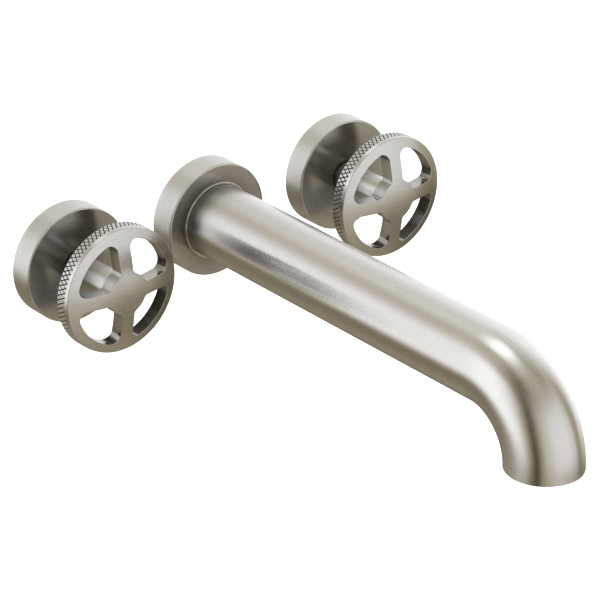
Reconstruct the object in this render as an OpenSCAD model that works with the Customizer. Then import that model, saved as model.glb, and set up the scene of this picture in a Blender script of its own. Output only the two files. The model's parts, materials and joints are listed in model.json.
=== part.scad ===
// Wall mounted bath faucet: a fixed spout between two round wheel handles.
// Frame: the wall plane is y = 0, -Y points away from the wall towards the
// user, +Z is up and +X is the viewer's right. The origin is the centre of the
// spout inlet at the wall plane.
// Each valve group is drawn along a local +Z axis that points away from the
// wall, so local z = 0 is the wall plane and negative z is inside the wall.

/* [Layout] */

// Distance between the centres of the two handles
handle_spacing = 203.2; // [150:0.1:260]
// Wall plane to the centre of the outlet
spout_reach = 303.4; // [180:0.1:360]

/* [Spout] */

// Outside radius of the spout tube
tube_r = 22.7; // [15:0.1:30]
// Wall thickness of the spout tube
tube_wall = 1.7; // [1:0.1:4]
// Centreline radius of the bend, also the drop of the outlet
bend_r = 44.8; // [40:0.1:70]
// Depth the outlet is bored straight to take the outlet housing
outlet_seat_depth = 6.5; // [4:0.1:9]

/* [Spout flange] */

// Outside radius of the flange against the wall
flange_r = 35.45; // [30:0.05:50]
// Distance the flange stands off the wall
flange_depth = 16.6; // [8:0.1:30]
// Outside radius of the raised collar round the tube
collar_r = 24.3; // [23.5:0.1:28]
// Height of the collar above the flange face
collar_height = 1.0; // [0.4:0.1:3]

/* [Escutcheons] */

// Outside radius of each handle escutcheon
esc_r = 35.4; // [30:0.05:50]
// Distance each escutcheon stands off the wall
esc_depth = 15.0; // [8:0.1:30]
// Wall thickness of the escutcheons and the flange
shell_wall = 1.6; // [1:0.1:3]
// Rounding of the front edges of the escutcheons and the flange
shell_round = 1.0; // [0.4:0.1:1.5]

/* [Wheel handles] */

// Outside radius of the wheel over the knurl
wheel_r = 38.6; // [30:0.1:50]
// Radius of the domed front face
dome_r = 103.6; // [80:0.1:200]
// Thickness of the domed wheel, front face to back face
wheel_thickness = 8.6; // [6:0.1:12]
// Distance from the wall to the front of the wheel's centre
wheel_front = 65.0; // [58:0.1:80]
// Outer radius of the four openings
window_outer_r = 32.4; // [28:0.1:35]
// Radius of the hub between the spokes
window_hub_r = 13.0; // [10:0.1:16]
// Width of each spoke
spoke_width = 8.7; // [6:0.1:14]
// Rounding in the rim corners of each opening
rim_corner_r = 4.75; // [1:0.05:6]
// Rounding in the hub corners of each opening
hub_corner_r = 3.0; // [1:0.1:4]
// Height of the bevel between the knurl and the front face
bevel_height = 1.6; // [0.5:0.1:3]
// Inset of the bevel at the front face
bevel_inset = 0.9; // [0.3:0.1:2]

/* [Handle stem] */

// Outside radius of the stem behind the wheel
stem_r = 9.0; // [7:0.1:12]
// Radius of the concave flare that widens the stem to the wheel hub
flare_r = 4.0; // [2:0.1:4]

/* [Valve cartridge] */

// Radius of the cartridge's outside thread
thread_r = 10.48; // [9:0.01:13]
// Radius of the rear part with the side ports
port_body_r = 9.2; // [8:0.1:10]
// Radius of the turning stem in the neck
spindle_r = 4.0; // [3:0.1:5]
// Angle the handle turns from closed to fully open
turn_angle = 90; // [60:5:120]

/* [Wall connections] */

// Radius of the spout adapter's inlet thread
inlet_thread_r = 9.3; // [8:0.1:14]

/* [Hidden] */

$fn = 96;
tiny = 0.01;
half_spacing = handle_spacing / 2;

// Running fit across a moving joint, and slip fit inside one body.
run_gap = 0.06;
slip_gap = 0.03;
collar_gap = 0.12;

// Spout.
tube_bore_r = tube_r - tube_wall;
tube_start = 3.0;
bend_start = spout_reach - bend_r;
outlet_seat_r = tube_bore_r + 0.45;
collar_seat_depth = 1.0;
adapter_r = tube_bore_r - 0.05;
adapter_rear_r = 14.5;
adapter_rear = -6.0;
adapter_shoulder = 5.0;
adapter_front = 36.0;
inlet_thread_length = 17.0;
waterway_r = 7.5;
adapter_ring_positions = [12.0, 18.0];
adapter_ring_wire = 1.0;
spout_screw_z = 28.0;
screw_r = 2.5;
grip_ring_wire = 1.25;
grip_ring_z = 9.0;
outlet_ring_r = outlet_seat_r - 0.05;
outlet_ring_height = 6.0;
outlet_recess = 0.5;
outlet_mouth_r = 12.5;
straightener_r = 14.5;
straightener_height = 3.4;
grid_pitch = 3.2;
grid_rib = 0.8;
washer_height = 1.2;

// Foam gaskets behind the escutcheons and the flange.
gasket_inner_r = 28.0;
gasket_height = 1.6;

// Wheel.
dome_centre = wheel_front - dome_r;
back_dome_r = dome_r - wheel_thickness;
rim_inset_r = wheel_r - bevel_inset;
rim_front = dome_centre + sqrt(pow(dome_r, 2) - pow(rim_inset_r, 2));
rim_back = dome_centre + sqrt(pow(back_dome_r, 2) - pow(wheel_r, 2));
knurl_front = rim_front - bevel_height;
hub_face_r = window_hub_r - 0.15;
hub_seat = dome_centre + sqrt(pow(back_dome_r, 2) - pow(window_hub_r, 2)) - 0.2;
spigot_r = 5.0;
spigot_length = 10.0;
half_spoke = spoke_width / 2;

// Rounded corners of the wheel openings: centres of the corner circles.
rim_cx = half_spoke + rim_corner_r;
rim_cd = window_outer_r - rim_corner_r;
rim_cy = sqrt(pow(rim_cd, 2) - pow(rim_cx, 2));
rim_beyond = 1.2 * window_outer_r / rim_cd;
hub_cx = half_spoke + hub_corner_r;
hub_cd = window_hub_r + hub_corner_r;
hub_cy = sqrt(pow(hub_cd, 2) - pow(hub_cx, 2));
hub_inside = 0.8 * window_hub_r / hub_cd;

// Handle stem and what it holds.
stem_rear = 9.8;
skirt_bore_r = 7.0;
skirt_bore_end = 17.4;
adapter_bore_r = 6.55;
adapter_bore_end = 35.0;
flare_start = hub_seat - 0.6 - flare_r;
glide_outer_r = stem_r + 1.3;
glide_flange_r = 11.6;
glide_front_gap = 0.15;
spline_teeth = 20;
spline_crest_r = 3.95;
spline_root_r = 3.5;
spline_adapter_rear = 18.4;
spline_adapter_web = 28.6;
spline_adapter_head = 30.6;
spline_adapter_front = 34.6;
set_screw_z = 24.0;
set_screw_outer = 8.7;
set_screw_inner = 5.75;
dimple_depth = 0.8;
hex_key_r = 1.45;

// Cartridge, listed from the wall side (negative) to the user side.
body_rear = -23.0;
seal_front = -18.2;
fixed_disc_front = -15.2;
turning_disc_front = -12.2;
port_front = -8.0;
thread_rear = -7.0;
thread_front = -1.0;
relief_r = 9.8;
stop_front = -4.6;
washer_front = -4.0;
flange_rear = 1.0;
flange_front = 6.0;
hex_front = 9.0;
neck_front = 16.0;
stem_end = 28.4;
disc_r = 7.35;
body_bore_r = 7.6;
neck_r = 6.4;
holder_thread_r = 12.4;
wrench_r = 11.2;
collar_radius = 5.7;
stop_outer_r = 7.2;
stop_pocket_r = 7.5;
stop_inner_r = 6.05;
stop_half = 15;
stop_play = 3;
seal_length = 5.4;
seal_bore_r = 4.6;
clip_rear = 16.3;
clip_height = 0.8;
clip_r = 5.4;
clip_groove_r = 3.4;
spindle_ring_positions = [1.0, 10.0];
spindle_ring_wire = 0.5;
tang_width = 4.0;
tang_inner_r = 4.6;
tang_outer_r = 6.9;
sleeve_r = 14.6;
sleeve_rear = 1.6;
sleeve_front = 12.4;
boss_r = 16.6;
boss_rear = 4.0;

// ---------------------------------------------------------------- placing

// Local +Z points away from the wall, local +Y stays up.
module off_wall() {
    rotate([90, 0, 0]) children();
}

module at_hot() {
    translate([-half_spacing, 0, 0]) off_wall() children();
}

// The cold side is the mirror image, so its handle opens the other way.
module at_cold() {
    mirror([1, 0, 0]) at_hot() children();
}

// The wheel is the same on both sides, so it is only moved across.
module at_cold_unturned() {
    translate([half_spacing, 0, 0]) off_wall() children();
}

// Frame of the bend: local X runs to the outlet's front, local Y runs up.
module at_bend() {
    translate([0, -bend_start, -bend_r]) rotate([90, 0, -90]) children();
}

// Frame of the outlet: origin at the outlet's centre, +Z up into the tube.
module at_outlet() {
    translate([0, -spout_reach, -bend_r]) children();
}

// ---------------------------------------------------------------- helpers

// A straight cylinder between two heights.
module span(r, low, high) {
    translate([0, 0, low]) cylinder(h = high - low, r = r);
}

module ring(outer, inner, low, high) {
    difference() {
        span(outer, low, high);
        span(inner, low - 1, high + 1);
    }
}

// A ring of round wire, such as an O-ring or the groove that holds it.
module wire_ring(radius, wire, z) {
    translate([0, 0, z]) rotate_extrude() translate([radius, 0]) circle(r = wire);
}

// A shallow cup, open at the wall, with a rounded front edge.
module rounded_cup(r, depth) {
    difference() {
        union() {
            span(r, 0, depth - shell_round);
            span(r - shell_round, 0, depth);
            wire_ring(r - shell_round, shell_round, depth - shell_round);
        }
        span(r - shell_wall, -1, depth - shell_wall);
    }
}

module foam_gasket(r) {
    ring(r - shell_wall - 0.2, gasket_inner_r, 0, gasket_height);
}

// One wedge of a ring, centred on the given angle (half angle under 90).
module sector(r, half_angle, angle) {
    far = 2 * r;
    rotate(angle) intersection() {
        circle(r = r);
        polygon([
            [0, 0],
            [far * cos(half_angle), -far * sin(half_angle)],
            [far, 0],
            [far * cos(half_angle), far * sin(half_angle)]
        ]);
    }
}

// A toothed outline: pointed teeth between the crest and the root radius.
module spline_outline(grow) {
    half_tooth = 360 / spline_teeth / 2;
    polygon([
        for (i = [0 : 2 * spline_teeth - 1])
            let (r = (i % 2 == 0 ? spline_crest_r : spline_root_r) + grow)
            [r * cos(i * half_tooth), r * sin(i * half_tooth)]
    ]);
}

// A grub screw along local Z with a hexagon socket in its outer end.
module grub_screw(low, high) {
    difference() {
        span(screw_r, low, high);
        translate([0, 0, high - 1.8]) cylinder(h = 3, r = hex_key_r, $fn = 6);
    }
}

// Local +Z points down, square to a stem at height z.
module pointing_down(z) {
    translate([0, 0, z]) rotate([90, 0, 0]) children();
}

// ---------------------------------------------------------------- spout

module bent_pipe(r, low) {
    off_wall() span(r, low, bend_start);
    at_bend() rotate_extrude(angle = 90) translate([bend_r, 0]) circle(r = r);
}

module spout_tube() {
    color("silver") difference() {
        bent_pipe(tube_r, tube_start);
        bent_pipe(tube_bore_r, tube_start - 1);
        at_outlet() span(outlet_seat_r, -1, outlet_seat_depth);
        off_wall() pointing_down(spout_screw_z) span(screw_r + slip_gap, 0, 30);
        at_outlet() span(tube_r + 1, -2, 0);
    }
}

module spout_flange() {
    color("silver") off_wall() difference() {
        union() {
            rounded_cup(flange_r, flange_depth);
            ring(27.5, tube_r + slip_gap, 5, flange_depth - 1);
        }
        span(tube_r + slip_gap, -1, flange_depth + 1);
        span(collar_r + slip_gap, flange_depth - collar_seat_depth, flange_depth + 1);
        wire_ring(tube_r + grip_ring_wire, grip_ring_wire + 0.05, grip_ring_z);
    }
}

module spout_flange_gasket() {
    color("dimgray") off_wall() foam_gasket(flange_r);
}

// The bright ring round the tube, let into the flange face.
module spout_collar() {
    low = flange_depth - collar_seat_depth;
    high = flange_depth + collar_height;
    color("gainsboro") off_wall() difference() {
        union() {
            span(collar_r, low, high - 0.4);
            span(collar_r - 0.4, low, high);
            wire_ring(collar_r - 0.4, 0.4, high - 0.4);
        }
        span(tube_r + collar_gap, low - 1, high + 1);
        wire_ring(collar_r, 0.18, high - 0.75);
    }
}

// Rubber ring that holds the flange on the tube by friction.
module spout_grip_ring() {
    color("black") off_wall() difference() {
        wire_ring(tube_r + grip_ring_wire, grip_ring_wire, grip_ring_z);
        span(tube_r + tiny, 0, flange_depth);
    }
}

module spout_adapter() {
    color("goldenrod") off_wall() difference() {
        union() {
            span(adapter_rear_r, adapter_rear, adapter_shoulder);
            span(adapter_r, adapter_shoulder, adapter_front);
        }
        span(inlet_thread_r, adapter_rear - 1, adapter_rear + inlet_thread_length);
        span(waterway_r, 0, adapter_front + 1);
        for (z = adapter_ring_positions) {
            ring(adapter_r + 1, adapter_r - 1.8, z - 1.2, z + 1.2);
        }
        pointing_down(spout_screw_z) span(screw_r + 0.1, adapter_r - 1, 30);
    }
}

module spout_adapter_o_rings() {
    centre = adapter_r - 1.8 + adapter_ring_wire;
    color("black") off_wall() for (z = adapter_ring_positions) {
        difference() {
            wire_ring(centre, adapter_ring_wire, z);
            ring(adapter_r + 5, tube_bore_r - tiny, z - 2, z + 2);
        }
    }
}

module spout_set_screw() {
    color("dimgray") off_wall() pointing_down(spout_screw_z) {
        grub_screw(adapter_r - 1, tube_r - 0.3);
    }
}

// Screwed ring in the outlet that carries the flow straightener.
module outlet_housing() {
    color("silver") at_outlet() difference() {
        span(outlet_ring_r, outlet_recess, outlet_recess + outlet_ring_height);
        span(outlet_mouth_r, 0, 10);
        span(straightener_r + 0.1, outlet_recess + 1.2, 10);
    }
}

// Plastic disc with a square grid of holes that calms the stream.
module flow_straightener() {
    low = outlet_recess + 1.25;
    steps = 3;
    hole = grid_pitch - grid_rib;
    color("whitesmoke") at_outlet() difference() {
        span(straightener_r, low, low + straightener_height);
        for (i = [-steps : steps]) {
            for (j = [-steps : steps]) {
                if (i * i + j * j < 11) {
                    translate([i * grid_pitch - hole / 2, j * grid_pitch - hole / 2, 0])
                        cube([hole, hole, 8]);
                }
            }
        }
    }
}

module outlet_washer() {
    low = outlet_recess + 1.25 + straightener_height;
    color("black") at_outlet() ring(straightener_r, 11.5, low, low + washer_height);
}

// ---------------------------------------------------------------- valve trim

module escutcheon() {
    color("silver") difference() {
        union() {
            rounded_cup(esc_r, esc_depth);
            ring(boss_r, sleeve_r + slip_gap, boss_rear, esc_depth - 1);
        }
        span(glide_outer_r + slip_gap, 0, esc_depth + 1);
        span(glide_flange_r + slip_gap, 0, esc_depth - shell_wall);
    }
}

module escutcheon_gasket() {
    color("dimgray") foam_gasket(esc_r);
}

// Black bearing ring that the handle stem turns in.
module glide_ring() {
    low = esc_depth - shell_wall - 0.9;
    color("black") difference() {
        union() {
            span(glide_outer_r, low, esc_depth - glide_front_gap);
            span(glide_flange_r, low, esc_depth - shell_wall);
        }
        span(stem_r + run_gap, 0, esc_depth + 1);
    }
}

// Threaded tube that joins the escutcheon to the cartridge flange.
module mounting_sleeve() {
    color("goldenrod") difference() {
        span(sleeve_r, sleeve_rear, sleeve_front);
        span(holder_thread_r + slip_gap, 0, sleeve_front + 1);
    }
}

// ---------------------------------------------------------------- cartridge

module cartridge_body() {
    free_half = turn_angle / 2 + stop_half + stop_play;
    color("goldenrod") difference() {
        union() {
            span(port_body_r, body_rear, thread_rear);
            span(thread_r, thread_rear, thread_front);
            span(relief_r, thread_front, flange_rear);
            span(holder_thread_r, flange_rear, flange_front);
            translate([0, 0, flange_front])
                cylinder(h = hex_front - flange_front, r = wrench_r, $fn = 6);
            span(neck_r, flange_front, neck_front);
        }
        span(body_bore_r, body_rear - 1, thread_rear);
        span(stop_inner_r, thread_rear - 1, washer_front);
        span(spindle_r + run_gap, body_rear, neck_front + 1);
        translate([0, 0, thread_rear - 1])
            linear_extrude(height = stop_front - thread_rear + 1)
                sector(stop_pocket_r, free_half, turn_angle / 2);
        for (side = [0, 180]) {
            rotate(side) translate([0, -4, turning_disc_front])
                cube([20, 8, port_front - turning_disc_front]);
        }
    }
}

// Seals the cartridge flange to the valve box in the wall.
module body_o_ring() {
    color("black") wire_ring(relief_r + 0.75, 0.7, flange_rear - 0.72);
}

// Rubber bush that presses the fixed disc and seals the water inlet.
module seat_seal() {
    color("black") difference() {
        span(body_bore_r - 0.1, seal_front - seal_length, seal_front - slip_gap);
        span(seal_bore_r, seal_front - seal_length - 1, seal_front + 1);
    }
}

// Ceramic disc with two open sectors, one each side of the axis.
module ceramic_disc(low, high, first_angle, sector_half) {
    difference() {
        span(disc_r, low, high);
        translate([0, 0, low - 1]) linear_extrude(height = high - low + 2) {
            for (side = [0, 180]) {
                difference() {
                    sector(disc_r - 2.6, sector_half, first_angle + side);
                    circle(r = 1.2);
                }
            }
        }
    }
}

module fixed_disc() {
    color("white") ceramic_disc(seal_front, fixed_disc_front - tiny, 90, 38);
}

// The two notches take the stem's tangs.
module turning_disc() {
    color("ivory") difference() {
        ceramic_disc(fixed_disc_front + tiny, turning_disc_front, 0, 38);
        for (side = [90, 270]) {
            rotate(side) translate([tang_inner_r - 0.8, -tang_width / 2 - 0.1, -13.8])
                cube([6, tang_width + 0.2, 4]);
        }
    }
}

// Plastic washer between the stem's collar and the body.
module friction_washer() {
    color("white") ring(stop_inner_r - 0.35, spindle_r + slip_gap, stop_front, washer_front - 0.08);
}

module cartridge_stem() {
    color("darkgoldenrod") difference() {
        union() {
            span(spindle_r, stop_front - 1, neck_front + 2);
            translate([0, 0, neck_front + 2])
                linear_extrude(height = stem_end - neck_front - 2) spline_outline(0);
            span(collar_radius, thread_rear, stop_front);
            span(tang_outer_r, port_front - 1, thread_rear - 0.3);
            span(collar_radius, port_front, thread_rear + 0.5);
            translate([0, 0, thread_rear - 0.3])
                linear_extrude(height = stop_front - thread_rear) intersection() {
                    sector(stop_outer_r, stop_half, 0);
                    difference() {
                        circle(r = stop_outer_r);
                        circle(r = 3);
                    }
                }
            for (side = [90, 270]) {
                rotate(side) intersection() {
                    ring(tang_outer_r, tang_inner_r, -13.7, port_front);
                    translate([0, -tang_width / 2, -14])
                        cube([10, tang_width, 8]);
                }
            }
        }
        for (z = spindle_ring_positions) {
            ring(spindle_r + 1, spindle_r - 1, z - 0.65, z + 0.65);
        }
        ring(clip_r + 1, clip_groove_r, clip_rear - 0.05, clip_rear + clip_height + 0.05);
        span(2, stem_end - 9, stem_end + 1);
    }
}

module stem_o_rings() {
    color("black") for (z = spindle_ring_positions) {
        wire_ring(spindle_r - 1 + spindle_ring_wire + 0.02, spindle_ring_wire, z);
    }
}

// Spring clip that keeps the stem from moving towards the wall.
module stem_clip() {
    color("gray") difference() {
        ring(clip_r, clip_groove_r + 0.02, clip_rear, clip_rear + clip_height);
        translate([0, -2, 0]) cube([10, 4, 30]);
    }
}

// Splined brass piece that carries the handle on the cartridge stem.
module spline_adapter() {
    color("goldenrod") difference() {
        span(adapter_bore_r - slip_gap, spline_adapter_rear, spline_adapter_front);
        translate([0, 0, spline_adapter_rear - 1])
            linear_extrude(height = spline_adapter_web - spline_adapter_rear + 1)
                spline_outline(slip_gap);
        span(2.2, spline_adapter_rear, spline_adapter_front);
        span(4.2, spline_adapter_head, spline_adapter_front + 1);
        pointing_down(set_screw_z) span(screw_r + 0.15, adapter_bore_r - dimple_depth, 10);
    }
}

module adapter_screw() {
    color("gray") difference() {
        union() {
            span(1.97, stem_end - 8, spline_adapter_head);
            span(3.9, spline_adapter_head, spline_adapter_head + 2.8);
        }
        translate([0, 0, spline_adapter_head + 1])
            cylinder(h = 3, r = 1.75, $fn = 6);
    }
}

// ---------------------------------------------------------------- handle

// Stem of the handle: a straight tube that flares out to the wheel hub.
module handle_stem() {
    color("silver") difference() {
        union() {
            span(stem_r, stem_rear, flare_start + tiny);
            difference() {
                span(hub_face_r, flare_start, hub_seat);
                wire_ring(stem_r + flare_r, flare_r, flare_start);
            }
        }
        span(skirt_bore_r, stem_rear - 1, skirt_bore_end);
        span(adapter_bore_r, skirt_bore_end - 1, adapter_bore_end);
        span(spigot_r + slip_gap, hub_seat - spigot_length - 0.4, hub_seat + 1);
        pointing_down(set_screw_z) span(screw_r + slip_gap, 0, 12);
    }
}

module handle_set_screw() {
    color("dimgray") pointing_down(set_screw_z) grub_screw(set_screw_inner, set_screw_outer);
}

// Cuts the sharp corner of an opening down to its corner circle.
module corner_waste(cx, cy, radius, reach) {
    edge = half_spoke - 1;
    difference() {
        polygon([[cx, cy], [edge, cy], [edge, cy * reach], [cx * reach, cy * reach]]);
        translate([cx, cy]) circle(r = radius);
    }
}

// One of the four openings between the spokes, with rounded corners.
module wheel_opening() {
    difference() {
        intersection() {
            circle(r = window_outer_r);
            translate([half_spoke, half_spoke]) square(window_outer_r);
        }
        circle(r = window_hub_r);
        for (flip = [0, 1]) {
            mirror([flip, -flip]) {
                corner_waste(rim_cx, rim_cy, rim_corner_r, rim_beyond);
                corner_waste(hub_cx, hub_cy, hub_corner_r, hub_inside);
            }
        }
    }
}

// The rim, spokes and hub are one domed plate, dished at the back.
module wheel_plate() {
    difference() {
        intersection() {
            translate([0, 0, dome_centre]) sphere(r = dome_r);
            union() {
                span(wheel_r, rim_back, knurl_front);
                translate([0, 0, knurl_front])
                    cylinder(h = bevel_height, r1 = wheel_r, r2 = rim_inset_r);
                span(rim_inset_r - 1, rim_back, wheel_front + 1);
            }
        }
        translate([0, 0, dome_centre]) sphere(r = back_dome_r);
        translate([0, 0, rim_back - 1]) linear_extrude(height = 20) {
            for (quarter = [0 : 90 : 270]) {
                rotate(quarter) wheel_opening();
            }
        }
    }
}

module handle_wheel() {
    color("silver") {
        wheel_plate();
        span(hub_face_r, hub_seat, rim_front);
        span(spigot_r, hub_seat - spigot_length, hub_seat + 1);
    }
}

module hot_escutcheon() { at_hot() escutcheon(); }
module hot_escutcheon_gasket() { at_hot() escutcheon_gasket(); }
module hot_glide_ring() { at_hot() glide_ring(); }
module hot_mounting_sleeve() { at_hot() mounting_sleeve(); }
module hot_cartridge_body() { at_hot() cartridge_body(); }
module hot_body_o_ring() { at_hot() body_o_ring(); }
module hot_seat_seal() { at_hot() seat_seal(); }
module hot_fixed_disc() { at_hot() fixed_disc(); }
module hot_turning_disc() { at_hot() turning_disc(); }
module hot_friction_washer() { at_hot() friction_washer(); }
module hot_cartridge_stem() { at_hot() cartridge_stem(); }
module hot_stem_o_rings() { at_hot() stem_o_rings(); }
module hot_stem_clip() { at_hot() stem_clip(); }
module hot_spline_adapter() { at_hot() spline_adapter(); }
module hot_adapter_screw() { at_hot() adapter_screw(); }
module hot_handle_stem() { at_hot() handle_stem(); }
module hot_handle_set_screw() { at_hot() handle_set_screw(); }
module hot_handle_wheel() { at_hot() handle_wheel(); }

module cold_escutcheon() { at_cold() escutcheon(); }
module cold_escutcheon_gasket() { at_cold() escutcheon_gasket(); }
module cold_glide_ring() { at_cold() glide_ring(); }
module cold_mounting_sleeve() { at_cold() mounting_sleeve(); }
module cold_cartridge_body() { at_cold() cartridge_body(); }
module cold_body_o_ring() { at_cold() body_o_ring(); }
module cold_seat_seal() { at_cold() seat_seal(); }
module cold_fixed_disc() { at_cold() fixed_disc(); }
module cold_turning_disc() { at_cold() turning_disc(); }
module cold_friction_washer() { at_cold() friction_washer(); }
module cold_cartridge_stem() { at_cold() cartridge_stem(); }
module cold_stem_o_rings() { at_cold() stem_o_rings(); }
module cold_stem_clip() { at_cold() stem_clip(); }
module cold_spline_adapter() { at_cold() spline_adapter(); }
module cold_adapter_screw() { at_cold() adapter_screw(); }
module cold_handle_stem() { at_cold() handle_stem(); }
module cold_handle_set_screw() { at_cold() handle_set_screw(); }
module cold_handle_wheel() { at_cold_unturned() handle_wheel(); }

spout_tube();
spout_flange();
spout_flange_gasket();
spout_collar();
spout_grip_ring();
spout_adapter();
spout_adapter_o_rings();
spout_set_screw();
outlet_housing();
flow_straightener();
outlet_washer();
hot_escutcheon();
hot_escutcheon_gasket();
hot_glide_ring();
hot_mounting_sleeve();
hot_cartridge_body();
hot_body_o_ring();
hot_seat_seal();
hot_fixed_disc();
hot_turning_disc();
hot_friction_washer();
hot_cartridge_stem();
hot_stem_o_rings();
hot_stem_clip();
hot_spline_adapter();
hot_adapter_screw();
hot_handle_stem();
hot_handle_set_screw();
hot_handle_wheel();
cold_escutcheon();
cold_escutcheon_gasket();
cold_glide_ring();
cold_mounting_sleeve();
cold_cartridge_body();
cold_body_o_ring();
cold_seat_seal();
cold_fixed_disc();
cold_turning_disc();
cold_friction_washer();
cold_cartridge_stem();
cold_stem_o_rings();
cold_stem_clip();
cold_spline_adapter();
cold_adapter_screw();
cold_handle_stem();
cold_handle_set_screw();
cold_handle_wheel();
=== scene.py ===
"""Looks for the wall mounted bath faucet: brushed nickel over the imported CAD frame.

Everything is in metres in the CAD frame: the wall plane is y = 0, -Y points to the user, +Z is up.
"""

import json
import math

import bmesh
import bpy
import numpy as np
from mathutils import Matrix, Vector
from mathutils.geometry import delaunay_2d_cdt


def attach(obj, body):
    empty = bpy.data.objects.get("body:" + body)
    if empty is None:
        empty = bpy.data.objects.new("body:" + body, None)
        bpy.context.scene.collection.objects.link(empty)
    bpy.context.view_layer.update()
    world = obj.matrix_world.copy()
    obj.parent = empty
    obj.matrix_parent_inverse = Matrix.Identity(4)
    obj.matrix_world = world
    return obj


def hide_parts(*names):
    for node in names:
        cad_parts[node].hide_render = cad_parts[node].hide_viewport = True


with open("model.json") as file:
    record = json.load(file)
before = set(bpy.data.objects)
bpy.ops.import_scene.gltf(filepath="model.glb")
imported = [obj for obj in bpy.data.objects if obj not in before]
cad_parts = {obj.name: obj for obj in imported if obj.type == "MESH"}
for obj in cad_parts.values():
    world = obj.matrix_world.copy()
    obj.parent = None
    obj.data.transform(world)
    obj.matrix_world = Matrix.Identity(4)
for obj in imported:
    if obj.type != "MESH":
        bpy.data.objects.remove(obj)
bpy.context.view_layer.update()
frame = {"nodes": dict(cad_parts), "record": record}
MM = 0.001

# ---------------------------------------------------------------- sizes (mm), as in the CAD source

HALF_SPACING = 101.6
WHEEL_R = 38.6
SPOUT_REACH = 303.4
BEND_R = 44.8
BEND_START = SPOUT_REACH - BEND_R
DOME_R = 103.6
WHEEL_THICKNESS = 8.6
WHEEL_FRONT = 65.0
DOME_CENTRE = WHEEL_FRONT - DOME_R
BACK_DOME_R = DOME_R - WHEEL_THICKNESS
WINDOW_OUTER_R = 32.4
WINDOW_HUB_R = 13.0
HALF_SPOKE = 4.35
RIM_CORNER_R = 4.75
HUB_CORNER_R = 3.0
HUB_FACE_R = 12.85
SPIGOT_R = 5.0
SPIGOT_LENGTH = 10.0
LAND_HEIGHT = 2.45
LAND_INSET = 0.9


# ---------------------------------------------------------------- node helpers


class Nodes:
    """A small builder for one material's node tree."""

    def __init__(self, name):
        self.material = bpy.data.materials.new(name)
        self.material.use_nodes = True
        self.tree = self.material.node_tree
        self.shader = self.tree.nodes["Principled BSDF"]

    def add(self, kind, inputs=None, **settings):
        node = self.tree.nodes.new(kind)
        for key, value in settings.items():
            setattr(node, key, value)
        for key, value in (inputs or {}).items():
            if isinstance(value, bpy.types.NodeSocket):
                self.tree.links.new(value, node.inputs[key])
            else:
                node.inputs[key].default_value = value
        return node

    def math(self, operation, *values):
        return self.add("ShaderNodeMath", dict(enumerate(values)), operation=operation).outputs[0]

    def combine(self, x, y, z):
        return self.add("ShaderNodeCombineXYZ", {0: x, 1: y, 2: z}).outputs[0]

    def separate(self, vector):
        return self.add("ShaderNodeSeparateXYZ", {0: vector}).outputs

    def noise(self, vector, scale, detail=2.0, roughness=0.5):
        inputs = {"Vector": vector, "Scale": scale, "Detail": detail, "Roughness": roughness}
        return self.add("ShaderNodeTexNoise", inputs).outputs["Fac"]

    def ramp(self, value, low, high, to_low, to_high):
        inputs = {"Value": value, 1: low, 2: high, 3: to_low, 4: to_high}
        return self.add("ShaderNodeMapRange", inputs, clamp=True).outputs[0]

    def mix_colour(self, factor, first, second):
        node = self.add("ShaderNodeMix", data_type="RGBA")
        for socket, value in ((node.inputs[0], factor), (node.inputs[6], first), (node.inputs[7], second)):
            if isinstance(value, bpy.types.NodeSocket):
                self.tree.links.new(value, socket)
            else:
                socket.default_value = value
        return node.outputs[2]

    def feed(self, name, value):
        if isinstance(value, bpy.types.NodeSocket):
            self.tree.links.new(value, self.shader.inputs[name])
        else:
            self.shader.inputs[name].default_value = value

    def bump(self, height, distance, strength=1.0):
        inputs = {"Height": height, "Distance": distance, "Strength": strength}
        return self.add("ShaderNodeBump", inputs).outputs["Normal"]


def colour(r, g, b):
    return (r, g, b, 1.0)


NICKEL = colour(0.575, 0.57, 0.56)
NICKEL_DARK = colour(0.475, 0.468, 0.455)
# Near-black colour of the painted shade in corners.
PAINTED_CORNER_SHADE = colour(0.07, 0.063, 0.05)
# Lighter nickel for the wheel's crests and edges: polish from hands and a painted highlight.
NICKEL_POLISH_AND_HIGHLIGHT = colour(0.62, 0.61, 0.59)
# Brush lines per metre, across and along the strokes, for the fine lines and the broad ones.
FINE_LINES = (2400.0, 110.0)
BROAD_LINES = (420.0, 35.0)
BRUSH_DEPTH = 0.000006
# The wheel is smooth inside this radius (m) and knurled outside it.
KNURL_FROM = 0.0362
WINDOW_WALL_ROUGHNESS = 0.15
CORNER_REACH = 0.05


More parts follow.
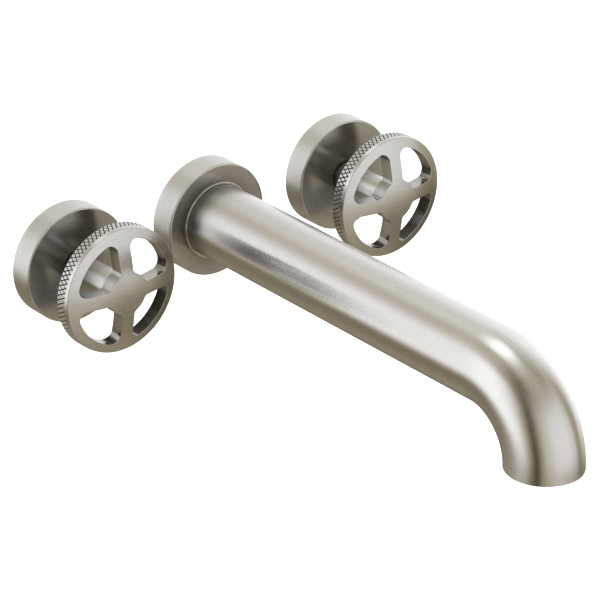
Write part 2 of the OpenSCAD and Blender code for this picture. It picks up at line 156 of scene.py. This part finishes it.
def brushed_nickel(n, across, along, stretch, roughness, anisotropy, grain=1.0, shade=1.0, wheel_wear_and_painted_light=False):
    """Brushed metal: `across` counts over the brush lines and `along` down them, both in metres."""
    fine = n.combine(n.math("MULTIPLY", along, FINE_LINES[1]), n.math("MULTIPLY", across, FINE_LINES[0]), 0.0)
    wide = n.combine(n.math("MULTIPLY", along, BROAD_LINES[1]), n.math("MULTIPLY", across, BROAD_LINES[0]), 3.7)
    lines = n.noise(fine, 1.0, 3.0, 0.6)
    broad = n.noise(wide, 1.0, 2.0)
    cloud = n.noise(n.add("ShaderNodeTexCoord").outputs["Object"], 45.0, 2.0)
    tone = n.math("ADD", n.math("MULTIPLY", lines, 0.85), n.math("MULTIPLY", broad, 0.15))
    metal = n.mix_colour(n.ramp(tone, 0.38, 0.6, max(0.0, 1.0 - grain), 1.0), NICKEL_DARK, NICKEL)
    if wheel_wear_and_painted_light:
        # Wear and painted light on the wheel: the knurl's crests and the wheel's edges are lighter, partly as polish
        # from hands and partly as a painted highlight, and the rest is mixed towards the darker nickel as painted
        # shade that tones down its reflections.
        edge = n.ramp(n.add("ShaderNodeNewGeometry").outputs["Pointiness"], 0.53, 0.6, 0.0, 0.5)
        metal = n.mix_colour(edge, n.mix_colour(0.35, metal, NICKEL_DARK), NICKEL_POLISH_AND_HIGHLIGHT)
    # Painted shade: the colour darkens towards a near-black where ambient occlusion finds other surfaces close by, in
    # corners, window walls, knurl grooves and beside other parts; `shade` sets its strength.
    sky = n.add("ShaderNodeAmbientOcclusion", {"Distance": CORNER_REACH}, samples=16).outputs["AO"]
    dark = n.math("MULTIPLY", n.ramp(sky, 0.25, 0.95, 1.0, 0.0), shade)
    metal = n.mix_colour(dark, metal, PAINTED_CORNER_SHADE)
    n.feed("Base Color", metal)
    spread = n.math("ADD", n.ramp(lines, 0.3, 0.7, -0.025, 0.03), n.ramp(cloud, 0.3, 0.7, -0.01, 0.015))
    n.feed("Roughness", n.math("ADD", spread, roughness))
    n.feed("Metallic", 1.0)
    n.feed("Anisotropic", anisotropy)
    # The brushing turns with its piece.
    spaces = {"convert_from": "OBJECT", "convert_to": "WORLD"}
    n.feed("Tangent", n.add("ShaderNodeVectorTransform", {0: stretch}, **spaces).outputs[0])
    n.feed("Normal", n.bump(tone, BRUSH_DEPTH * grain, 0.5))
    return n.material


def turned(name, x_centre, rim_roughness=0.4, face_roughness=0.17, anisotropy=0.5, grain=1.0, shade=1.0, wheel_wear_and_painted_light=False):
    """Brushing round an axis along Y on the sides, and straight brushing along X on the flat faces."""
    n = Nodes(name)
    point = n.add("ShaderNodeTexCoord").outputs["Object"]
    normal = n.add("ShaderNodeTexCoord").outputs["Normal"]
    x, y, z = n.separate(point)
    x = n.math("SUBTRACT", x, x_centre * MM)
    angle = n.math("ARCTAN2", z, x)
    is_face = n.ramp(n.math("ABSOLUTE", n.separate(normal)[1]), 0.6, 0.8, 0.0, 1.0)
    round_along = n.math("MULTIPLY", angle, 0.03)
    across = n.add("ShaderNodeMix", {0: is_face, 2: y, 3: z}).outputs[0]
    along = n.add("ShaderNodeMix", {0: is_face, 2: round_along, 3: x}).outputs[0]
    if wheel_wear_and_painted_light:
        # The walls of the windows are smoother than the knurl.
        radius = n.math("SQRT", n.math("ADD", n.math("MULTIPLY", x, x), n.math("MULTIPLY", z, z)))
        rim_roughness = n.ramp(radius, KNURL_FROM, KNURL_FROM + 0.0006, WINDOW_WALL_ROUGHNESS, rim_roughness)
    roughness = n.add("ShaderNodeMix", {0: is_face, 2: rim_roughness, 3: face_roughness}).outputs[0]
    lengthwise, upright = n.combine(0.0, 1.0, 0.0), n.combine(0.0, 0.0, 1.0)
    stretch = n.add("ShaderNodeMix", {0: is_face, 4: lengthwise, 5: upright}, data_type="VECTOR").outputs[1]
    return brushed_nickel(n, across, along, stretch, roughness, anisotropy, grain, shade, wheel_wear_and_painted_light)


def tube_metal():
    """Brushing round the spout tube, following its bend."""
    n = Nodes("nickel_tube")
    x, y, z = n.separate(n.add("ShaderNodeTexCoord").outputs["Object"])
    past = n.math("SUBTRACT", n.math("MULTIPLY", y, -1.0), BEND_START * MM)
    turn = n.math("MAXIMUM", n.math("ARCTAN2", past, n.math("ADD", z, BEND_R * MM)), 0.0)
    straight_part = n.math("MINIMUM", n.math("MULTIPLY", y, -1.0), BEND_START * MM)
    length = n.math("ADD", straight_part, n.math("MULTIPLY", turn, BEND_R * MM))
    cosine, sine = n.math("COSINE", turn), n.math("SINE", turn)
    out = n.math("SUBTRACT", n.math("MULTIPLY", cosine, z), n.math("MULTIPLY", sine, y))
    path = n.combine(0.0, n.math("MULTIPLY", cosine, -1.0), n.math("MULTIPLY", sine, -1.0))
    along = n.math("MULTIPLY", n.math("ARCTAN2", x, out), 0.02)
    # The tube takes the painted corner shade at strength 1.2, which darkens it most beside the flange.
    return brushed_nickel(n, length, along, path, 0.26, 0.72, 0.4, 1.2)


def plain(name, base, second, metallic, roughness, scale, bump, spread=0.08):
    """A base colour with fine mottling, uneven roughness and a slight grain."""
    n = Nodes(name)
    point = n.add("ShaderNodeTexCoord").outputs["Object"]
    grain = n.noise(point, scale, 3.0, 0.6)
    patches = n.noise(point, scale * 0.08, 2.0)
    n.feed("Base Color", n.mix_colour(n.ramp(patches, 0.35, 0.65, 0.0, 1.0), colour(*base), colour(*second)))
    n.feed("Roughness", n.ramp(grain, 0.3, 0.7, roughness - spread / 2, roughness + spread / 2))
    n.feed("Metallic", metallic)
    n.feed("Normal", n.bump(grain, bump, 0.5))
    return n.material


def lathe_marks(name, base, second, roughness, x_centre):
    """Turned metal that isn't plated: fine rings round an axis along Y."""
    n = Nodes(name)
    point = n.add("ShaderNodeTexCoord").outputs["Object"]
    x, y, z = n.separate(point)
    x = n.math("SUBTRACT", x, x_centre * MM)
    radius = n.math("SQRT", n.math("ADD", n.math("MULTIPLY", x, x), n.math("MULTIPLY", z, z)))
    rings = n.noise(n.combine(n.math("ADD", radius, y), 0.0, n.math("SUBTRACT", radius, y)), 2600.0, 2.0)
    patches = n.noise(point, 120.0, 2.0)
    n.feed("Base Color", n.mix_colour(n.ramp(patches, 0.35, 0.65, 0.0, 1.0), colour(*base), colour(*second)))
    n.feed("Roughness", n.ramp(rings, 0.3, 0.7, roughness - 0.05, roughness + 0.07))
    n.feed("Metallic", 1.0)
    n.feed("Normal", n.bump(rings, 0.00003, 0.6))
    return n.material


# ---------------------------------------------------------------- wheel

KNURL_COUNT = 84
KNURL_ANGLE = 28.5
KNURL_DEPTH = 0.7
KNURL_BACK_STEP = 0.6
EDGE_ROUND = 0.32
ROUND_STEPS = 5
RIM_ROUND = 0.55
BACK_INSET = 0.55
KNURL_OVERLAP = 0.05
# Each knurl diamond, from its edge to its flat top: (inset as a share of its size, height over the crest).
KNURL_STEPS = ((0.0, -KNURL_DEPTH), (0.13, -0.07), (0.18, 0.0))
FACE_GRID = 1.5
GRID_CLEARANCE = 0.8
RIM_CLEARANCE = 0.9
SPIGOT_CHAMFER = 0.4
RIM_INSET_R = WHEEL_R - LAND_INSET
RIM_FRONT = DOME_CENTRE + math.sqrt(DOME_R**2 - RIM_INSET_R**2)
RIM_BACK = DOME_CENTRE + math.sqrt(BACK_DOME_R**2 - WHEEL_R**2)
KNURL_FRONT = RIM_FRONT - LAND_HEIGHT
KNURL_BACK = RIM_BACK + KNURL_BACK_STEP
HUB_SEAT = DOME_CENTRE + math.sqrt(BACK_DOME_R**2 - WINDOW_HUB_R**2) - 0.2


class Shape:
    """Collects points, faces and the shading normal of each face corner, then makes one mesh."""

    def __init__(self):
        self.points = []
        self.faces = []
        self.normals = []

    def add_points(self, points):
        start = len(self.points)
        self.points.extend(tuple(p) for p in points)
        return list(range(start, len(self.points)))

    def add_face(self, corners, normals):
        self.faces.append(list(corners))
        self.normals.extend(tuple(n) for n in normals)

    def flat_face(self, corners):
        a, b, c = (np.array(self.points[k]) for k in corners[:3])
        normal = np.cross(b - a, c - b)
        length = np.linalg.norm(normal)
        if length < 1e-12:
            return
        self.add_face(corners, [normal / length] * len(corners))

    def band(self, first, second, first_normals, second_normals):
        """Quads between two closed loops of equal length; normals of None mean flat faces."""
        count = len(first)
        for k in range(count):
            m = (k + 1) % count
            corners = [first[k], first[m], second[m], second[k]]
            if first_normals is None:
                self.flat_face(corners)
            else:
                self.add_face(corners, [first_normals[k], first_normals[m], second_normals[m], second_normals[k]])

    def make(self, name, place):
        """`place` turns (x, height up, distance from the wall) in mm into the world."""
        mesh = bpy.data.meshes.new(name)
        mesh.from_pydata([place(p) for p in self.points], [], self.faces)
        mesh.shade_smooth()
        mesh.normals_split_custom_set([turned_normal(n) for n in self.normals])
        mesh.validate(clean_customdata=False)
        piece = bpy.data.objects.new(name, mesh)
        bpy.context.scene.collection.objects.link(piece)
        return piece


def turned_normal(n):
    return Vector((n[0], -n[2], n[1])).normalized()


def dome_height(points, radius):
    flat = np.asarray(points)[:, :2]
    return DOME_CENTRE + np.sqrt(radius**2 - np.sum(flat**2, axis=1))


def dome_normals(points, sign):
    out = np.asarray(points, float) - np.array([0, 0, DOME_CENTRE])
    return sign * out / np.linalg.norm(out, axis=1)[:, None]


def arc(centre, radius, start, end, steps):
    angles = np.linspace(start, end, steps)
    return [(centre[0] + radius * math.cos(a), centre[1] + radius * math.sin(a)) for a in angles]


def straight(start, end, steps):
    return [tuple(p) for p in np.linspace(start, end, steps)]


def opening_outline():
    """One opening of the wheel, counter-clockwise, with rounded corners, where x and y are positive."""
    quarter = math.pi / 2
    rim_c, rim_d = HALF_SPOKE + RIM_CORNER_R, WINDOW_OUTER_R - RIM_CORNER_R
    hub_c, hub_d = HALF_SPOKE + HUB_CORNER_R, WINDOW_HUB_R + HUB_CORNER_R
    rim_a, hub_a = math.asin(rim_c / rim_d), math.asin(hub_c / hub_d)
    rim_far, hub_far = rim_d * math.cos(rim_a), hub_d * math.cos(hub_a)
    line = arc((rim_far, rim_c), RIM_CORNER_R, -quarter, rim_a, 18)
    line += arc((0, 0), WINDOW_OUTER_R, rim_a, quarter - rim_a, 40)[1:]
    line += arc((rim_c, rim_far), RIM_CORNER_R, quarter - rim_a, math.pi, 18)[1:]
    line += straight((HALF_SPOKE, rim_far), (HALF_SPOKE, hub_far), 12)[1:]
    line += arc((hub_c, hub_far), HUB_CORNER_R, math.pi, 3 * quarter - hub_a, 12)[1:]
    line += arc((0, 0), WINDOW_HUB_R, quarter - hub_a, hub_a, 14)[1:]
    line += arc((hub_far, hub_c), HUB_CORNER_R, math.pi + hub_a, 3 * quarter, 12)[1:]
    line += straight((hub_far, HALF_SPOKE), (rim_far, HALF_SPOKE), 12)[1:-1]
    return np.array(line)


def into_metal(loop):
    """Unit directions in the plane from the opening into the metal around it."""
    ahead = np.roll(loop, -1, axis=0) - np.roll(loop, 1, axis=0)
    ahead /= np.linalg.norm(ahead, axis=1)[:, None]
    return np.stack([ahead[:, 1], -ahead[:, 0]], axis=1)


def inside(points, loop):
    """Which points lie inside a closed loop, by counting crossings."""
    x, y = points[:, 0][:, None], points[:, 1][:, None]
    x0, y0 = loop[:, 0][None], loop[:, 1][None]
    x1, y1 = np.roll(loop[:, 0], -1)[None], np.roll(loop[:, 1], -1)[None]
    crosses = (y0 > y) != (y1 > y)
    at = x0 + (y - y0) * (x1 - x0) / np.where(y1 == y0, 1e-9, y1 - y0)
    return (crosses & (x < at)).sum(axis=1) % 2 == 1


def face_sheet(shape, outer, holes, outer_ids, hole_ids, radius, sign):
    """Fills one domed side of the wheel between the rim and the four openings."""
    rim = np.asarray(outer)[:, :2]
    loops = [rim, *holes]
    borders = np.concatenate(loops)
    steps = np.arange(-40, 40, FACE_GRID)
    grid = np.array([(a + (FACE_GRID / 2 if j % 2 else 0), b) for j, b in enumerate(steps * 0.866) for a in steps])
    grid = grid[np.hypot(grid[:, 0], grid[:, 1]) < np.hypot(*rim[0]) - RIM_CLEARANCE]
    for hole in holes:
        grid = grid[~inside(grid, hole)]
    near = np.min(np.hypot(grid[:, None, 0] - borders[None, :, 0], grid[:, None, 1] - borders[None, :, 1]), axis=1)
    grid = grid[near > GRID_CLEARANCE]
    edges, start = [], 0
    for loop in loops:
        count = len(loop)
        edges += [(start + k, start + (k + 1) % count) for k in range(count)]
        start += count
    flat = [Vector(p) for p in np.concatenate([borders, grid])]
    made = delaunay_2d_cdt(flat, edges, [], 0, 1e-5, True)
    points, triangles, origins = np.array([tuple(v) for v in made[0]]), made[2], made[3]
    heights = np.stack([grid[:, 0], grid[:, 1], dome_height(grid, radius)], axis=1)
    known = [*outer_ids, *[k for ids in hole_ids for k in ids], *shape.add_points(heights)]
    centres = np.array([points[t].mean(axis=0) for t in triangles])
    keep = np.hypot(centres[:, 0], centres[:, 1]) < np.hypot(*rim[0])
    for hole in holes:
        keep &= ~inside(centres, hole)
    for triangle, wanted in zip(triangles, keep):
        ids = [known[origins[k][0]] for k in triangle if origins[k]]
        if not wanted or len(ids) < 3:
            continue
        corners = [ids[0], ids[1], ids[2]] if sign > 0 else [ids[2], ids[1], ids[0]]
        shape.add_face(corners, dome_normals([shape.points[k] for k in corners], sign))


def knurl_strip():
    """The diamond knurl, flat: x runs round the rim, y is the distance from the wall, z the height over the crest."""
    half_x = math.pi * WHEEL_R / KNURL_COUNT
    half_y = half_x / math.tan(math.radians(KNURL_ANGLE))
    middle = (KNURL_FRONT + KNURL_BACK) / 2
    rows = int((KNURL_FRONT - KNURL_BACK) / half_y / 2) + 2
    strip = bmesh.new()
    for row in range(-rows, rows + 1):
        for column in range(row % 2, 2 * KNURL_COUNT, 2):
            centre = (half_x * column, middle + half_y * row)
            rings = []
            for inset, height in KNURL_STEPS:
                size = 1 - 2 * inset
                ring = [(half_x * size, 0), (0, half_y * size), (-half_x * size, 0), (0, -half_y * size)]
                rings.append([strip.verts.new((centre[0] + x, centre[1] + y, height)) for x, y in ring])
            for low, high in zip(rings, rings[1:]):
                for k in range(4):
                    strip.faces.new((low[k], low[(k + 1) % 4], high[(k + 1) % 4], high[k]))
            strip.faces.new(rings[-1])
    for edge, direction in ((KNURL_FRONT, 1), (KNURL_BACK, -1)):
        everything = [*strip.verts, *strip.edges, *strip.faces]
        bmesh.ops.bisect_plane(
            strip, geom=everything, plane_co=(0, edge, 0), plane_no=(0, direction, 0), clear_outer=True, dist=1e-6
        )
    return strip


def wrapped_knurl(shape):
    """Wraps the knurl round the rim; returns its front and back border loops, in order round the rim."""
    strip = knurl_strip()
    for vertex in strip.verts:
        angle, radius = vertex.co.x / WHEEL_R, WHEEL_R + vertex.co.z
        vertex.co = (radius * math.cos(angle), radius * math.sin(angle), vertex.co.y)
    bmesh.ops.remove_doubles(strip, verts=strip.verts, dist=2e-3)
    strip.verts.index_update()
    ids = shape.add_points([tuple(v.co) for v in strip.verts])
    for face in strip.faces:
        shape.flat_face([ids[v.index] for v in face.verts])
    borders = []
    for height in (KNURL_FRONT, KNURL_BACK):
        rim = [v for v in strip.verts if abs(v.co.z - height) < 1e-3]
        rim.sort(key=lambda v: math.atan2(v.co.y, v.co.x))
        borders.append([ids[v.index] for v in rim])
    strip.free()
    return borders


def circle_at(angles, radius, height):
    """Points on a circle round the wheel's axis, at one height."""
    flat = np.stack([radius * np.cos(angles), radius * np.sin(angles)], axis=1)
    return np.concatenate([flat, np.full((len(angles), 1), height)], axis=1)


def slanted(angles, outwards, forwards):
    """Unit normals round a cone, for one outward and one forward share."""
    length = math.hypot(outwards, forwards)
    out, forward = outwards / length, forwards / length
    return np.stack([np.cos(angles) * out, np.sin(angles) * out, np.full(len(angles), forward)], axis=1)


def rim_side(shape, border, sign):
    """The smooth land and rounded edge between the knurl and one face; returns the face's outer loop."""
    angles = np.array([math.atan2(shape.points[k][1], shape.points[k][0]) for k in border])
    radius = DOME_R if sign > 0 else BACK_DOME_R
    inset_r = RIM_INSET_R if sign > 0 else WHEEL_R - BACK_INSET
    land_r = inset_r + RIM_ROUND
    face_height = DOME_CENTRE + math.sqrt(radius**2 - inset_r**2)
    edge = KNURL_FRONT if sign > 0 else KNURL_BACK
    taper = sign * (WHEEL_R - KNURL_OVERLAP - land_r) / abs(face_height - sign * RIM_ROUND - edge)
    profile = [(WHEEL_R - KNURL_OVERLAP, edge + sign * 0.02, 1.0, taper)]
    for a in np.linspace(0, math.pi / 2, ROUND_STEPS):
        point = (inset_r + RIM_ROUND * math.cos(a), face_height - sign * RIM_ROUND * (1 - math.sin(a)))
        profile.append((*point, math.cos(a) + 0.05, sign * math.sin(a) + (taper if a == 0 else 0)))
    loops, looks = [border], [None]
    for r, height, outwards, forwards in profile:
        loops.append(shape.add_points(circle_at(angles, r, height)))
        looks.append(slanted(angles, outwards, forwards))
    looks[-1] = dome_normals([shape.points[k] for k in loops[-1]], sign)
    for k in range(len(loops) - 1):
        first, second, a, b = loops[k], loops[k + 1], looks[k], looks[k + 1]
        if sign < 0:
            first, second, a, b = second, first, b, a
        if a is None or b is None:
            a = b = None
        shape.band(first, second, a, b)
    return loops[-1]


def opening_sides(shape, loop):
    """The wall of one opening with rounded edges; returns its loops on the front and the back face."""
    out = into_metal(loop)
    wall_normals = np.concatenate([-out, np.zeros((len(out), 1))], axis=1)
    rings = []
    for radius, sign, size in ((DOME_R, 1, EDGE_ROUND), (BACK_DOME_R, -1, EDGE_ROUND * 0.7)):
        side = []
        for angle in np.linspace(0, math.pi / 2, ROUND_STEPS):
            flat = loop + out * size * (1 - math.cos(angle))
            height = dome_height(flat, radius) - sign * size * (1 - math.sin(angle))
            points = np.concatenate([flat, height[:, None]], axis=1)
            normals = math.cos(angle) * wall_normals + math.sin(angle) * dome_normals(points, sign)
            side.append((shape.add_points(points), normals))
        rings.append(side)
    front, back = rings
    chain = [*reversed(back), *front]
    for (first, a), (second, b) in zip(chain, chain[1:]):
        shape.band(second, first, b, a)
    return front[-1][0], back[-1][0]


def turned_solid(shape, profile, steps=96):
    """A closed lathe shape from (radius, height) corners, with flat ends, flat shaded along its length."""
    angles = np.linspace(0, 2 * math.pi, steps, endpoint=False)
    loops = [shape.add_points(circle_at(angles, r, h)) for r, h in profile]
    for first, second, (r0, h0), (r1, h1) in zip(loops, loops[1:], profile, profile[1:]):
        normals = slanted(angles, h1 - h0, r0 - r1)
        shape.band(first, second, normals, normals)
    shape.add_face(loops[0][::-1], [(0, 0, -1)] * steps)
    shape.add_face(loops[-1], [(0, 0, 1)] * steps)


def wheel(name, x_centre):
    """The domed handle wheel with four openings, rounded edges and a diamond-knurled rim."""
    shape = Shape()
    front_border, back_border = wrapped_knurl(shape)
    front_outer = rim_side(shape, front_border, 1)
    back_outer = rim_side(shape, back_border, -1)
    outline = opening_outline()
    front_holes, back_holes = [], []
    for quarter in range(4):
        angle = quarter * math.pi / 2
        turn = np.array([[math.cos(angle), math.sin(angle)], [-math.sin(angle), math.cos(angle)]])
        front, back = opening_sides(shape, outline @ turn)
        front_holes.append(front)
        back_holes.append(back)
    for outer, holes, radius, sign in (
        (front_outer, front_holes, DOME_R, 1), (back_outer, back_holes, BACK_DOME_R, -1)
    ):
        loops = [np.array([shape.points[k][:2] for k in ids]) for ids in holes]
        face_sheet(shape, np.array([shape.points[k] for k in outer]), loops, outer, holes, radius, sign)
    spigot_end = HUB_SEAT - SPIGOT_LENGTH
    turned_solid(shape, [
        (SPIGOT_R - SPIGOT_CHAMFER, spigot_end), (SPIGOT_R, spigot_end + SPIGOT_CHAMFER), (SPIGOT_R, HUB_SEAT),
        (HUB_FACE_R, HUB_SEAT), (HUB_FACE_R, DOME_CENTRE + BACK_DOME_R + 1),
    ])
    return shape.make(name, lambda p: ((p[0] + x_centre) * MM, -p[2] * MM, p[1] * MM))


# ---------------------------------------------------------------- materials on the CAD nodes

# Each `shade` value sets how strongly that finish takes the painted corner shade.
MATERIALS = {
    "nickel_tube": tube_metal(),
    "nickel_flange": turned("nickel_flange", 0.0, shade=1.35),
    "nickel_collar": turned("nickel_collar", 0.0, 0.16, 0.16, 0.3, 0.5, 0.3),
    "nickel_ring": turned("nickel_ring", 0.0),
    "rubber": plain("rubber", (0.012, 0.012, 0.012), (0.02, 0.02, 0.021), 0.0, 0.55, 2500.0, 0.00003),
    "gasket_foam": plain("gasket_foam", (0.03, 0.03, 0.031), (0.045, 0.045, 0.046), 0.0, 0.85, 1800.0, 0.0001),
    "black_plastic": plain("black_plastic", (0.01, 0.01, 0.01), (0.016, 0.016, 0.016), 0.0, 0.4, 3000.0, 0.00001),
    "white_plastic": plain("white_plastic", (0.78, 0.78, 0.75), (0.7, 0.7, 0.66), 0.0, 0.4, 2500.0, 0.00001),
    "ceramic": plain("ceramic", (0.83, 0.82, 0.77), (0.78, 0.76, 0.70), 0.0, 0.2, 3000.0, 0.000005),
}
for side, centre in (("hot", -HALF_SPACING), ("cold", HALF_SPACING)):
    MATERIALS["nickel_escutcheon", side] = turned("nickel_escutcheon_" + side, centre, shade=1.15)
    MATERIALS["nickel_stem", side] = turned("nickel_stem_" + side, centre, 0.24, 0.24, 0.5, 0.3, 0.15)
    MATERIALS["nickel_wheel", side] = turned("nickel_wheel_" + side, centre, 0.31, 0.21, grain=1.6, wheel_wear_and_painted_light=True)
    MATERIALS["brass", side] = lathe_marks("brass_" + side, (0.72, 0.52, 0.24), (0.62, 0.44, 0.2), 0.3, centre)
    MATERIALS["steel", side] = lathe_marks("steel_" + side, (0.5, 0.49, 0.47), (0.42, 0.41, 0.4), 0.34, centre)
MATERIALS["brass"] = lathe_marks("brass_spout", (0.72, 0.52, 0.24), (0.62, 0.44, 0.2), 0.3, 0.0)
MATERIALS["steel"] = lathe_marks("steel_spout", (0.5, 0.49, 0.47), (0.42, 0.41, 0.4), 0.34, 0.0)


def material_for(slot, side):
    return MATERIALS.get((slot, side)) or MATERIALS[slot]


slots = {s["node"]: s["material_slot"] for s in frame["record"]["subparts"]}
for node, piece in frame["nodes"].items():
    finish = material_for(slots[node], node.split("_")[0])
    for place in piece.material_slots:
        place.material = finish

for side, centre in (("hot", -HALF_SPACING), ("cold", HALF_SPACING)):
    piece = wheel(side + "_wheel", centre)
    piece.data.materials.append(MATERIALS["nickel_wheel", side])
    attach(piece, side + "_handle")
    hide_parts(side + "_handle_wheel")

# ---------------------------------------------------------------- floor, light and camera


FLOOR_HALF = 60
FLOOR_Z = -2.6


def floor():
    """A pale sheet far below the part, which adds no light to it."""
    mesh = bpy.data.meshes.new("floor")
    corners = [(x * FLOOR_HALF, y * FLOOR_HALF, FLOOR_Z) for x, y in ((-1, -1), (1, -1), (1, 1), (-1, 1))]
    mesh.from_pydata(corners, [], [(0, 1, 2, 3)])
    piece = bpy.data.objects.new("floor", mesh)
    bpy.context.scene.collection.objects.link(piece)
    n = Nodes("floor_white")
    n.feed("Base Color", colour(0.9, 0.9, 0.9))
    n.feed("Roughness", 0.9)
    n.feed("Specular IOR Level", 0.0)
    n.feed("Emission Color", colour(1, 1, 1))
    n.feed("Emission Strength", 0.85)
    mesh.materials.append(n.material)
    piece.visible_glossy = False
    piece.visible_diffuse = False


# Brightness of the studio round the horizon (degrees: 0 is the user's side, positive is to the right).
HORIZON = (
    (-180, 0.95), (-150, 1.2), (-134, 1.42), (-114, 1.9), (-94, 1.55), (-84, 1.0), (-73, 0.45), (-61, 0.03),
    (-53, 0.2),
    (-44, 0.6), (-30, 0.95), (0, 1.22), (28, 1.25), (51, 1.12), (65, 0.62), (74, 0.5), (92, 1.15), (108, 1.6),
    (125, 1.45), (150, 1.15), (180, 0.95),
)
# The same, about 50 degrees up and about 35 degrees down.
ABOVE = (
    (-180, 0.75), (-150, 0.72), (-108, 0.85), (-94, 0.65), (-80, 0.36), (-64, 0.08), (-52, 0.14), (-38, 0.32),
    (-20, 0.52),
    (10, 0.63), (35, 0.57), (52, 0.42), (66, 0.48), (84, 0.9), (110, 1.1), (145, 1.0), (165, 0.85), (180, 0.75),
)
BELOW = (
    (-180, 0.33), (-150, 0.33), (-110, 0.3), (-72, 0.08), (-60, 0.1), (-45, 0.42), (0, 0.64), (40, 0.36), (80, 0.2),
    (110, 0.2), (141, 0.1), (165, 0.28), (180, 0.33),
)
OVERHEAD = 0.62
UNDERFOOT = 0.5
CEILING_PANEL = 2.3
CEILING_SPOT = (0.02, 0.25, 0.96)
CEILING_EDGE = (21, 8)
SHADOW_TINT = (1.0, 0.86, 0.6, 1)
NEUTRAL = (1.0, 1.0, 1.0, 1)
# Light dimmer than the first level is fully tinted, brighter than the second isn't.
TINT_LEVELS = (0.4, 1.25)


def grey(level):
    return (level, level, level, 1)


def studio():
    """Soft panels round the object that differ with direction, a bright ceiling and a darker floor."""
    world = bpy.data.worlds.new("studio")
    bpy.context.scene.world = world
    world.use_nodes = True
    tree = world.node_tree
    background = tree.nodes["Background"]

    def add(kind, inputs=None, **settings):
        node = tree.nodes.new(kind)
        for key, value in settings.items():
            setattr(node, key, value)
        for key, value in (inputs or {}).items():
            if isinstance(value, bpy.types.NodeSocket):
                tree.links.new(value, node.inputs[key])
            else:
                node.inputs[key].default_value = value
        return node

    def band(place, stops):
        node = add("ShaderNodeValToRGB", {"Fac": place})
        ramp = node.color_ramp
        ramp.interpolation = "EASE"
        while len(ramp.elements) < len(stops):
            ramp.elements.new(0.5)
        for element, (degrees, value) in zip(ramp.elements, stops):
            element.position = (degrees + 180) / 360
            element.color = grey(value)
        return node.outputs[0]

    def blend(low, high, first, second):
        """Goes from `first` to `second` between two heights, in degrees over the horizon."""
        inputs = {"Value": z, 1: math.sin(math.radians(low)), 2: math.sin(math.radians(high)), 3: 0.0, 4: 1.0}
        share = add("ShaderNodeMapRange", inputs, interpolation_type="SMOOTHSTEP").outputs[0]
        return add("ShaderNodeMix", {0: share, 6: first, 7: second}, data_type="RGBA").outputs[2]

    direction = add("ShaderNodeTexCoord").outputs["Generated"]
    x, y, z = add("ShaderNodeSeparateXYZ", {0: direction}).outputs
    towards = add("ShaderNodeMath", {0: y, 1: -1.0}, operation="MULTIPLY").outputs[0]
    azimuth = add("ShaderNodeMath", {0: x, 1: towards}, operation="ARCTAN2").outputs[0]
    place = add("ShaderNodeMapRange", {"Value": azimuth, 1: -math.pi, 2: math.pi, 3: 0.0, 4: 1.0}).outputs[0]
    light = blend(-31, -12, band(place, BELOW), band(place, HORIZON))
    light = blend(-60, -40, grey(UNDERFOOT), light)
    light = blend(28, 50, light, band(place, ABOVE))
    light = blend(60, 72, light, grey(OVERHEAD))
    spot_centre = Vector(CEILING_SPOT).normalized()
    facing = add("ShaderNodeVectorMath", {0: direction, 1: spot_centre}, operation="DOT_PRODUCT")
    outer, inner = (math.cos(math.radians(angle)) for angle in CEILING_EDGE)
    inputs = {"Value": facing.outputs["Value"], 1: outer, 2: inner, 3: 0.0, 4: 1.0}
    spot = add("ShaderNodeMapRange", inputs, interpolation_type="SMOOTHSTEP").outputs[0]
    light = add("ShaderNodeMix", {0: spot, 6: light, 7: grey(CEILING_PANEL)}, data_type="RGBA").outputs[2]
    # Shadows are warm and bright panels neutral.
    level = add("ShaderNodeRGBToBW", {0: light}).outputs[0]
    inputs = {"Value": level, 1: TINT_LEVELS[0], 2: TINT_LEVELS[1], 3: 0.0, 4: 1.0}
    cool = add("ShaderNodeMapRange", inputs).outputs[0]
    tint = add("ShaderNodeMix", {0: cool, 6: SHADOW_TINT, 7: NEUTRAL}, data_type="RGBA").outputs[2]
    light = add("ShaderNodeMix", {0: 1.0, 6: light, 7: tint}, data_type="RGBA", blend_type="MULTIPLY").outputs[2]
    tree.links.new(light, background.inputs[0])
    background.inputs[1].default_value = 1.0


CAMERA_AZIMUTH = -39.367
CAMERA_ELEVATION = 26.294
CAMERA_DISTANCE = 1.9013
CAMERA_AIM = (0.0313, -0.0565, -0.0482)
CAMERA_LENS = 189.23


def camera():
    """The photo's view."""
    data = bpy.data.cameras.new("camera")
    piece = bpy.data.objects.new("camera", data)
    bpy.context.scene.collection.objects.link(piece)
    azimuth, elevation = math.radians(CAMERA_AZIMUTH), math.radians(CAMERA_ELEVATION)
    back = Vector((
        math.sin(azimuth) * math.cos(elevation), -math.cos(azimuth) * math.cos(elevation), math.sin(elevation)
    ))
    piece.location = Vector(CAMERA_AIM) + back * CAMERA_DISTANCE
    piece.rotation_mode = "QUATERNION"
    piece.rotation_quaternion = (-back).to_track_quat("-Z", "Y")
    data.sensor_width = 36.0
    data.lens = CAMERA_LENS
    data.clip_start, data.clip_end = 0.1, 60
    bpy.context.scene.camera = piece


floor()
studio()
camera()
bpy.context.scene.view_settings.view_transform = "Standard"
